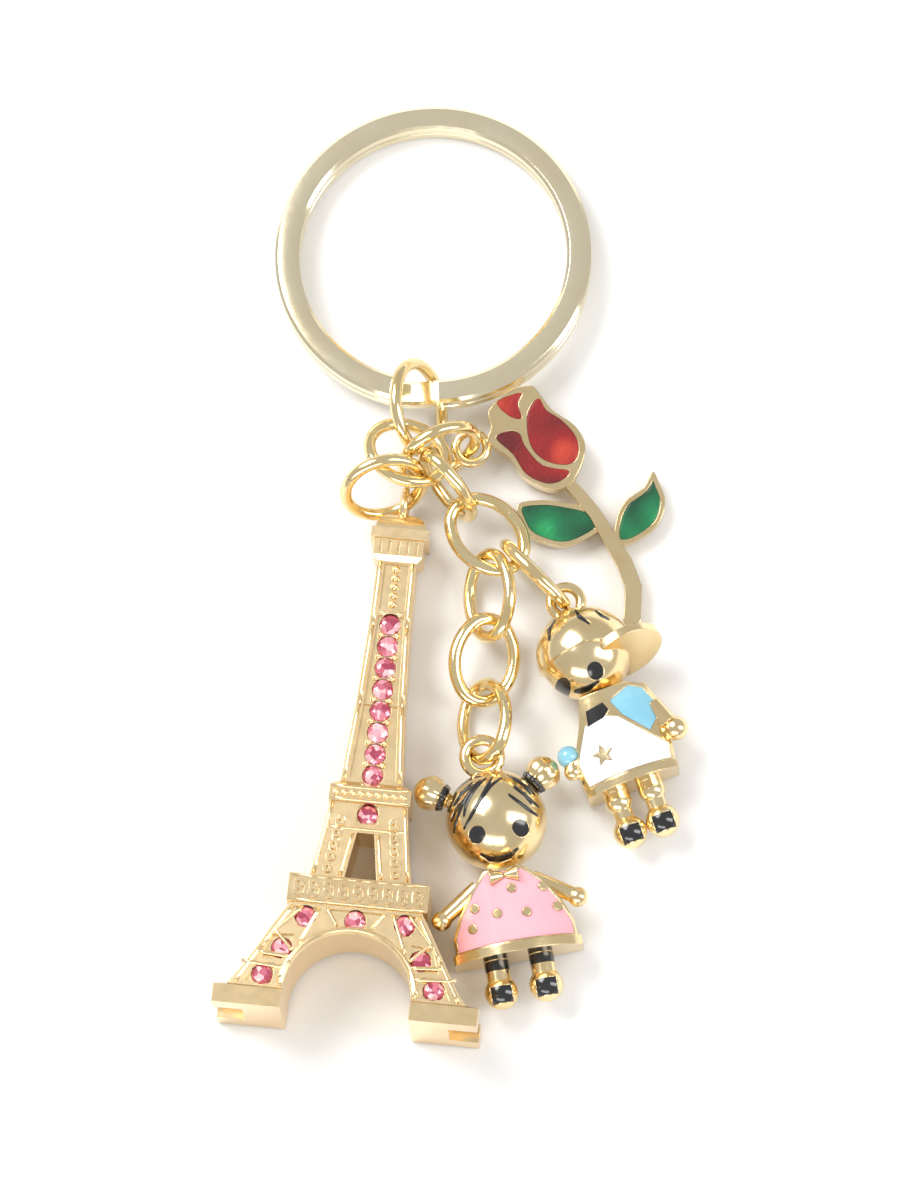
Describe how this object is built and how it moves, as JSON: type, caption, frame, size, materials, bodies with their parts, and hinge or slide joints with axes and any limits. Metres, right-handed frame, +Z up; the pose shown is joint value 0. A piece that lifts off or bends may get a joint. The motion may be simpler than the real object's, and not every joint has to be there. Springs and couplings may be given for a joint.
{
  "type": "charm keychain",
  "caption": "Keychain with a split ring, linked rings and a short chain that carry a lattice tower, a rose, a girl and a boy charm with enamel and stones.",
  "frame": {"origin": "centre of the split ring's hole, 2.5 mm above the table that the keychain lies on", "axes": "+Y from the charms to the split ring, +X to the right, +Z up from the table, out of the charms' fronts"},
  "size_m": [0.0439, 0.0904, 0.0101],
  "materials": {
    "pale_gold_plate": "mirror-bright pale gold plating",
    "gold_wire": "bright gold plating on round wire",
    "gold_casting": "bright gold plating on a casting",
    "satin_gold_casting": "satin gold plating on a casting",
    "pink_rhinestone": "cut and polished",
    "pink_enamel": "glossy opaque enamel",
    "white_enamel": "glossy opaque enamel",
    "blue_enamel": "glossy opaque enamel",
    "red_enamel": "glossy see-through enamel over textured metal",
    "green_enamel": "glossy see-through enamel over textured metal",
    "black_enamel": "glossy opaque enamel"
  },
  "bodies": {
    "split_ring": {"split_ring": "pale_gold_plate"},
    "main_jump_ring": {"main_jump_ring": "gold_wire"},
    "side_jump_ring": {"side_jump_ring": "gold_wire"},
    "tower_jump_ring": {"tower_jump_ring": "gold_wire"},
    "rose_jump_ring": {"rose_jump_ring": "gold_wire"},
    "chain_link_1": {"chain_link_1": "gold_wire"},
    "chain_link_2": {"chain_link_2": "gold_wire"},
    "chain_link_3": {"chain_link_3": "gold_wire"},
    "chain_link_4": {"chain_link_4": "gold_wire"},
    "chain_link_5": {"chain_link_5": "gold_wire"},
    "boy_link": {"boy_link": "gold_wire"},
    "tower": {"tower": "satin_gold_casting", "tower_stone_01": "pink_rhinestone", "tower_stone_02": "pink_rhinestone", "tower_stone_03": "pink_rhinestone", "tower_stone_04": "pink_rhinestone", "tower_stone_05": "pink_rhinestone", "tower_stone_06": "pink_rhinestone", "tower_stone_07": "pink_rhinestone", "tower_stone_08": "pink_rhinestone", "tower_stone_09": "pink_rhinestone", "tower_stone_10": "pink_rhinestone", "tower_stone_11": "pink_rhinestone", "tower_stone_12": "pink_rhinestone", "tower_stone_13": "pink_rhinestone", "tower_stone_14": "pink_rhinestone", "tower_stone_15": "pink_rhinestone", "tower_stone_16": "pink_rhinestone"},
    "rose": {"rose": "gold_casting", "petal_enamel_1": "red_enamel", "petal_enamel_2": "red_enamel", "petal_enamel_3": "red_enamel", "leaf_enamel_left": "green_enamel", "leaf_enamel_right": "green_enamel"},
    "girl": {"girl": "gold_casting", "girl_dress_enamel": "pink_enamel", "girl_hair_enamel": "black_enamel", "girl_bun_enamel": "black_enamel", "girl_eye_enamel": "black_enamel", "girl_mouth_enamel": "black_enamel", "girl_stocking_enamel": "black_enamel", "girl_shoe_enamel": "black_enamel"},
    "boy": {"boy": "gold_casting", "boy_tunic_enamel": "white_enamel", "boy_shoulder_enamel": "blue_enamel", "boy_sleeve_enamel": "blue_enamel", "boy_cap_enamel": "black_enamel", "boy_eye_enamel": "black_enamel", "boy_mouth_enamel": "black_enamel", "boy_tie_enamel": "black_enamel", "boy_shoe_enamel": "black_enamel"}
  },
  "joints": [
    {"name": "main_jump_ring_swing", "type": "hinge", "parent": "split_ring", "child": "main_jump_ring", "pos_m": [-0.00099, -0.01375, 0.00128], "axis": [-0.9774, 0.2114, 0], "range_deg": [0, 15]},
    {"name": "side_jump_ring_swing", "type": "hinge", "parent": "main_jump_ring", "child": "side_jump_ring", "pos_m": [-0.00032, -0.01891, 0.00008], "axis": [-0.4115, 0.9114, 0], "range_deg": [0, 12]},
    {"name": "tower_jump_ring_swing", "type": "hinge", "parent": "side_jump_ring", "child": "tower_jump_ring", "pos_m": [-0.0003, -0.02274, 0.00394], "axis": [-0.0864, 0.9963, 0], "range_deg": [0, 15]},
    {"name": "tower_swing", "type": "hinge", "parent": "tower_jump_ring", "child": "tower", "pos_m": [-0.00177, -0.02363, 0.00046], "axis": [-0.9259, -0.1529, -0.3454], "range_deg": [0, 10]},
    {"name": "rose_jump_ring_swing", "type": "hinge", "parent": "side_jump_ring", "child": "rose_jump_ring", "pos_m": [-0.00252, -0.02042, 0.00347], "axis": [0.6398, -0.7685, 0], "range_deg": [0, 4]},
    {"name": "rose_swing", "type": "hinge", "parent": "rose_jump_ring", "child": "rose", "pos_m": [0.00456, -0.01757, -0.00009], "axis": [-0.6111, -0.7915, 0], "range_deg": [-15, 4]},
    {"name": "chain_link_1_swing", "type": "hinge", "parent": "side_jump_ring", "child": "chain_link_1", "pos_m": [0.00122, -0.02066, 0.00216], "axis": [-0.7149, -0.6051, 0.3505], "range_deg": [0, 8]},
    {"name": "chain_link_2_swing", "type": "hinge", "parent": "chain_link_1", "child": "chain_link_2", "pos_m": [0.00325, -0.02394, 0.00106], "axis": [-0.9552, -0.2958, 0.0081], "range_deg": [0, 12]},
    {"name": "chain_link_3_swing", "type": "hinge", "parent": "chain_link_2", "child": "chain_link_3", "pos_m": [0.00651, -0.03075, 0.00094], "axis": [-0.9829, 0.1839, 0.0057], "range_deg": [-10, 10]},
    {"name": "chain_link_4_swing", "type": "hinge", "parent": "chain_link_3", "child": "chain_link_4", "pos_m": [0.00452, -0.0366, -0.00031], "axis": [-0.9941, -0.1089, 0], "range_deg": [-10, 15]},
    {"name": "chain_link_5_swing", "type": "hinge", "parent": "chain_link_4", "child": "chain_link_5", "pos_m": [0.00551, -0.04159, 0.00031], "axis": [-0.9028, 0.4301, 0], "range_deg": [-10, 15]},
    {"name": "girl_swing", "type": "hinge", "parent": "chain_link_5", "child": "girl", "pos_m": [0.00388, -0.04844, 0.00043], "axis": [-0.9749, -0.2228, 0], "range_deg": [-15, 0]},
    {"name": "boy_link_swing", "type": "hinge", "parent": "chain_link_2", "child": "boy_link", "pos_m": [0.00856, -0.02826, 0.00094], "axis": [-0.5377, -0.8431, -0.0085], "range_deg": [-10, 8]},
    {"name": "boy_swing", "type": "hinge", "parent": "boy_link", "child": "boy", "pos_m": [0.01154, -0.03499, 0.0012], "axis": [-0.766, 0.6428, 0], "range_deg": [-15, 15]}
  ]
}
